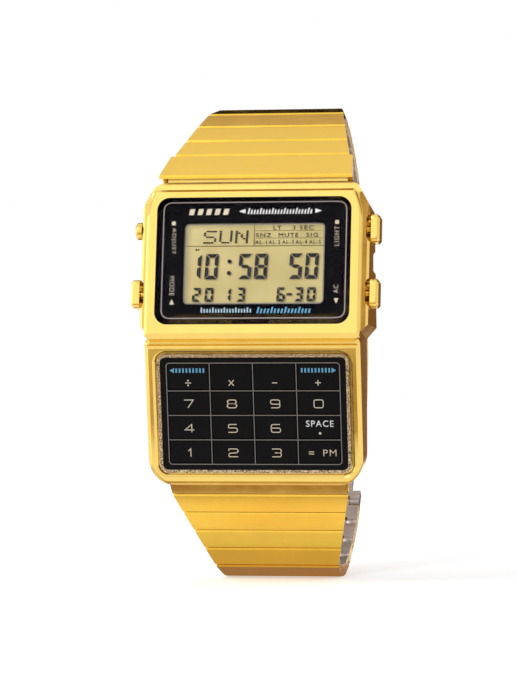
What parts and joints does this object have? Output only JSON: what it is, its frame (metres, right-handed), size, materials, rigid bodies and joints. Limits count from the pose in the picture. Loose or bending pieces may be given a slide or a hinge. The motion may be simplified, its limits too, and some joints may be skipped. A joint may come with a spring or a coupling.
{
  "type": "digital calculator watch",
  "caption": "Gold digital wristwatch with a display above a calculator keypad, on a tapered bracelet of hinged bars with a sliding folding clasp.",
  "frame": {"origin": "middle of the flat outer face of the case back", "axes": "+Z towards 12 o'clock, +X towards 3 o'clock, +Y out of the case back towards the wrist; the display faces -Y"},
  "size_m": [0.0378, 0.063, 0.0738],
  "materials": {
    "gold_case": "polished gold plating",
    "gold_band": "satin gold plating",
    "gold_trim": "grained gold",
    "steel": "brushed",
    "cell_steel": "bright",
    "crystal": "clear",
    "mask": "printed black",
    "lcd": "satin",
    "panel": "fine grained black",
    "rubber": "matt",
    "frame_plastic": "moulded",
    "board": "solder resist"
  },
  "bodies": {
    "watch": {"case_body": "gold_case", "crystal": "crystal", "display_mask": "mask", "lcd_panel": "lcd", "keypad_panel": "panel", "keypad_trim": "gold_trim", "key_mat": "rubber", "module_frame": "frame_plastic", "circuit_board": "board", "battery": "cell_steel", "case_back": "steel", "back_gasket": "rubber", "back_screws": "steel", "upper_end_link": "gold_band"},
    "upper_bar_1": {"upper_bar_1": "gold_band"},
    "upper_bar_2": {"upper_bar_2": "gold_band"},
    "upper_bar_3": {"upper_bar_3": "gold_band"},
    "upper_bar_4": {"upper_bar_4": "gold_band"},
    "upper_bar_5": {"upper_bar_5": "gold_band"},
    "upper_bar_6": {"upper_bar_6": "gold_band"},
    "upper_bar_7": {"upper_bar_7": "gold_band"},
    "upper_bar_8": {"upper_bar_8": "gold_band"},
    "upper_bar_9": {"upper_bar_9": "gold_band"},
    "clasp_catch": {"clasp_catch": "gold_band"},
    "lower_bar_1": {"lower_bar_1": "gold_band"},
    "lower_bar_2": {"lower_bar_2": "gold_band"},
    "lower_bar_3": {"lower_bar_3": "gold_band"},
    "lower_bar_4": {"lower_bar_4": "gold_band"},
    "lower_bar_5": {"lower_bar_5": "gold_band"},
    "lower_bar_6": {"lower_bar_6": "gold_band"},
    "lower_bar_7": {"lower_bar_7": "gold_band"},
    "lower_bar_8": {"lower_bar_8": "gold_band"},
    "lower_bar_9": {"lower_bar_9": "gold_band"},
    "lower_bar_10": {"lower_bar_10": "gold_band"},
    "clasp_strip": {"clasp_strip": "gold_band"},
    "clasp_slider": {"clasp_slider": "steel"},
    "clasp_cover": {"clasp_cover": "gold_band"},
    "clasp_lever": {"clasp_lever": "steel"},
    "key_divide": {"key_divide": "panel"},
    "key_multiply": {"key_multiply": "panel"},
    "key_minus": {"key_minus": "panel"},
    "key_plus": {"key_plus": "panel"},
    "key_7": {"key_7": "panel"},
    "key_8": {"key_8": "panel"},
    "key_9": {"key_9": "panel"},
    "key_0": {"key_0": "panel"},
    "key_4": {"key_4": "panel"},
    "key_5": {"key_5": "panel"},
    "key_6": {"key_6": "panel"},
    "key_point": {"key_point": "panel"},
    "key_1": {"key_1": "panel"},
    "key_2": {"key_2": "panel"},
    "key_3": {"key_3": "panel"},
    "key_equals": {"key_equals": "panel"},
    "pusher_left_high": {"pusher_left_high": "gold_case"},
    "pusher_left_low": {"pusher_left_low": "gold_case"},
    "pusher_right_high": {"pusher_right_high": "gold_case"},
    "pusher_right_low": {"pusher_right_low": "gold_case"}
  },
  "joints": [
    {"name": "hinge_upper_01", "type": "hinge", "parent": "watch", "child": "upper_bar_1", "pos_m": [0, 0.00273, 0.02692], "axis": [-1, 0, 0], "range_deg": [-6, 0]},
    {"name": "hinge_upper_02", "type": "hinge", "parent": "upper_bar_1", "child": "upper_bar_2", "pos_m": [0, 0.00705, 0.02935], "axis": [-1, 0, 0], "range_deg": [-6, 0]},
    {"name": "hinge_upper_03", "type": "hinge", "parent": "upper_bar_2", "child": "upper_bar_3", "pos_m": [0, 0.01136, 0.03178], "axis": [-1, 0, 0], "range_deg": [-9.3, 0]},
    {"name": "hinge_upper_04", "type": "hinge", "parent": "upper_bar_3", "child": "upper_bar_4", "pos_m": [0, 0.0158, 0.03395], "axis": [-1, 0, 0], "range_deg": [-20.2, 0]},
    {"name": "hinge_upper_05", "type": "hinge", "parent": "upper_bar_4", "child": "upper_bar_5", "pos_m": [0, 0.02064, 0.03497], "axis": [-1, 0, 0], "range_deg": [-21.1, 0]},
    {"name": "hinge_upper_06", "type": "hinge", "parent": "upper_bar_5", "child": "upper_bar_6", "pos_m": [0, 0.02557, 0.0347], "axis": [-1, 0, 0], "range_deg": [-20.9, 0]},
    {"name": "hinge_upper_07", "type": "hinge", "parent": "upper_bar_6", "child": "upper_bar_7", "pos_m": [0, 0.03026, 0.03317], "axis": [-1, 0, 0], "range_deg": [-15.8, 0]},
    {"name": "hinge_upper_08", "type": "hinge", "parent": "upper_bar_7", "child": "upper_bar_8", "pos_m": [0, 0.03463, 0.03085], "axis": [-1, 0, 0], "range_deg": [-13.6, 0]},
    {"name": "hinge_upper_09", "type": "hinge", "parent": "upper_bar_8", "child": "upper_bar_9", "pos_m": [0, 0.03866, 0.02797], "axis": [-1, 0, 0], "range_deg": [-13.6, 0]},
    {"name": "hinge_upper_10", "type": "hinge", "parent": "upper_bar_9", "child": "clasp_catch", "pos_m": [0, 0.04227, 0.02459], "axis": [-1, 0, 0], "range_deg": [-13.5, 0]},
    {"name": "hinge_lower_01", "type": "hinge", "parent": "watch", "child": "lower_bar_1", "pos_m": [0, 0.0005, -0.02275], "axis": [1, 0, 0], "range_deg": [-6, 0]},
    {"name": "hinge_lower_02", "type": "hinge", "parent": "lower_bar_1", "child": "lower_bar_2", "pos_m": [0, 0.00437, -0.02566], "axis": [1, 0, 0], "range_deg": [-6, 0]},
    {"name": "hinge_lower_03", "type": "hinge", "parent": "lower_bar_2", "child": "lower_bar_3", "pos_m": [0, 0.00823, -0.02857], "axis": [1, 0, 0], "range_deg": [-6, 0]},
    {"name": "hinge_lower_04", "type": "hinge", "parent": "lower_bar_3", "child": "lower_bar_4", "pos_m": [0, 0.0121, -0.03149], "axis": [1, 0, 0], "range_deg": [-7.3, 0]},
    {"name": "hinge_lower_05", "type": "hinge", "parent": "lower_bar_4", "child": "lower_bar_5", "pos_m": [0, 0.01603, -0.03431], "axis": [1, 0, 0], "range_deg": [-21.1, 0]},
    {"name": "hinge_lower_06", "type": "hinge", "parent": "lower_bar_5", "child": "lower_bar_6", "pos_m": [0, 0.02054, -0.03601], "axis": [1, 0, 0], "range_deg": [-24.7, 0]},
    {"name": "hinge_lower_07", "type": "hinge", "parent": "lower_bar_6", "child": "lower_bar_7", "pos_m": [0, 0.02535, -0.03617], "axis": [1, 0, 0], "range_deg": [-24.4, 0]},
    {"name": "hinge_lower_08", "type": "hinge", "parent": "lower_bar_7", "child": "lower_bar_8", "pos_m": [0, 0.02998, -0.03479], "axis": [1, 0, 0], "range_deg": [-16.8, 0]},
    {"name": "hinge_lower_09", "type": "hinge", "parent": "lower_bar_8", "child": "lower_bar_9", "pos_m": [0, 0.03427, -0.03257], "axis": [1, 0, 0], "range_deg": [-13.5, 0]},
    {"name": "hinge_lower_10", "type": "hinge", "parent": "lower_bar_9", "child": "lower_bar_10", "pos_m": [0, 0.03824, -0.02981], "axis": [1, 0, 0], "range_deg": [-13.5, 0]},
    {"name": "hinge_lower_11", "type": "hinge", "parent": "lower_bar_10", "child": "clasp_strip", "pos_m": [0, 0.04182, -0.02656], "axis": [1, 0, 0], "range_deg": [-9.7, 0]},
    {"name": "clasp_slide", "type": "hinge", "parent": "clasp_strip", "child": "clasp_slider", "pos_m": [0, 0.0151, -0.00075], "axis": [-1, 0, 0], "range_deg": [0, 12]},
    {"name": "clasp_cover_hinge", "type": "hinge", "parent": "clasp_slider", "child": "clasp_cover", "pos_m": [0, 0.05235, -0.01214], "axis": [-1, 0, 0], "range_deg": [0, 110]},
    {"name": "clasp_lever_hinge", "type": "hinge", "parent": "clasp_slider", "child": "clasp_lever", "pos_m": [0, 0.05136, 0.00242], "axis": [-1, 0, 0], "range_deg": [0, 60]},
    {"name": "key_divide_press", "type": "slide", "parent": "watch", "child": "key_divide", "axis": [0, 0.9857, 0.1685], "range_m": [0, 0.00025], "stiffness_N_per_m": 1200, "springref_m": -0.0004},
    {"name": "key_multiply_press", "type": "slide", "parent": "watch", "child": "key_multiply", "axis": [0, 0.9857, 0.1685], "range_m": [0, 0.00025], "stiffness_N_per_m": 1200, "springref_m": -0.0004},
    {"name": "key_minus_press", "type": "slide", "parent": "watch", "child": "key_minus", "axis": [0, 0.9857, 0.1685], "range_m": [0, 0.00025], "stiffness_N_per_m": 1200, "springref_m": -0.0004},
    {"name": "key_plus_press", "type": "slide", "parent": "watch", "child": "key_plus", "axis": [0, 0.9857, 0.1685], "range_m": [0, 0.00025], "stiffness_N_per_m": 1200, "springref_m": -0.0004},
    {"name": "key_7_press", "type": "slide", "parent": "watch", "child": "key_7", "axis": [0, 0.9857, 0.1685], "range_m": [0, 0.00025], "stiffness_N_per_m": 1200, "springref_m": -0.0004},
    {"name": "key_8_press", "type": "slide", "parent": "watch", "child": "key_8", "axis": [0, 0.9857, 0.1685], "range_m": [0, 0.00025], "stiffness_N_per_m": 1200, "springref_m": -0.0004},
    {"name": "key_9_press", "type": "slide", "parent": "watch", "child": "key_9", "axis": [0, 0.9857, 0.1685], "range_m": [0, 0.00025], "stiffness_N_per_m": 1200, "springref_m": -0.0004},
    {"name": "key_0_press", "type": "slide", "parent": "watch", "child": "key_0", "axis": [0, 0.9857, 0.1685], "range_m": [0, 0.00025], "stiffness_N_per_m": 1200, "springref_m": -0.0004},
    {"name": "key_4_press", "type": "slide", "parent": "watch", "child": "key_4", "axis": [0, 0.9857, 0.1685], "range_m": [0, 0.00025], "stiffness_N_per_m": 1200, "springref_m": -0.0004},
    {"name": "key_5_press", "type": "slide", "parent": "watch", "child": "key_5", "axis": [0, 0.9857, 0.1685], "range_m": [0, 0.00025], "stiffness_N_per_m": 1200, "springref_m": -0.0004},
    {"name": "key_6_press", "type": "slide", "parent": "watch", "child": "key_6", "axis": [0, 0.9857, 0.1685], "range_m": [0, 0.00025], "stiffness_N_per_m": 1200, "springref_m": -0.0004},
    {"name": "key_point_press", "type": "slide", "parent": "watch", "child": "key_point", "axis": [0, 0.9857, 0.1685], "range_m": [0, 0.00025], "stiffness_N_per_m": 1200, "springref_m": -0.0004},
    {"name": "key_1_press", "type": "slide", "parent": "watch", "child": "key_1", "axis": [0, 0.9857, 0.1685], "range_m": [0, 0.00025], "stiffness_N_per_m": 1200, "springref_m": -0.0004},
    {"name": "key_2_press", "type": "slide", "parent": "watch", "child": "key_2", "axis": [0, 0.9857, 0.1685], "range_m": [0, 0.00025], "stiffness_N_per_m": 1200, "springref_m": -0.0004},
    {"name": "key_3_press", "type": "slide", "parent": "watch", "child": "key_3", "axis": [0, 0.9857, 0.1685], "range_m": [0, 0.00025], "stiffness_N_per_m": 1200, "springref_m": -0.0004},
    {"name": "key_equals_press", "type": "slide", "parent": "watch", "child": "key_equals", "axis": [0, 0.9857, 0.1685], "range_m": [0, 0.00025], "stiffness_N_per_m": 1200, "springref_m": -0.0004},
    {"name": "pusher_left_high_press", "type": "slide", "parent": "watch", "child": "pusher_left_high", "axis": [1, 0, 0], "range_m": [0, 0.0007], "stiffness_N_per_m": 1000, "springref_m": -0.001},
    {"name": "pusher_left_low_press", "type": "slide", "parent": "watch", "child": "pusher_left_low", "axis": [1, 0, 0], "range_m": [0, 0.0007], "stiffness_N_per_m": 1000, "springref_m": -0.001},
    {"name": "pusher_right_high_press", "type": "slide", "parent": "watch", "child": "pusher_right_high", "axis": [-1, 0, 0], "range_m": [0, 0.0007], "stiffness_N_per_m": 1000, "springref_m": -0.001},
    {"name": "pusher_right_low_press", "type": "slide", "parent": "watch", "child": "pusher_right_low", "axis": [-1, 0, 0], "range_m": [0, 0.0007], "stiffness_N_per_m": 1000, "springref_m": -0.001}
  ]
}
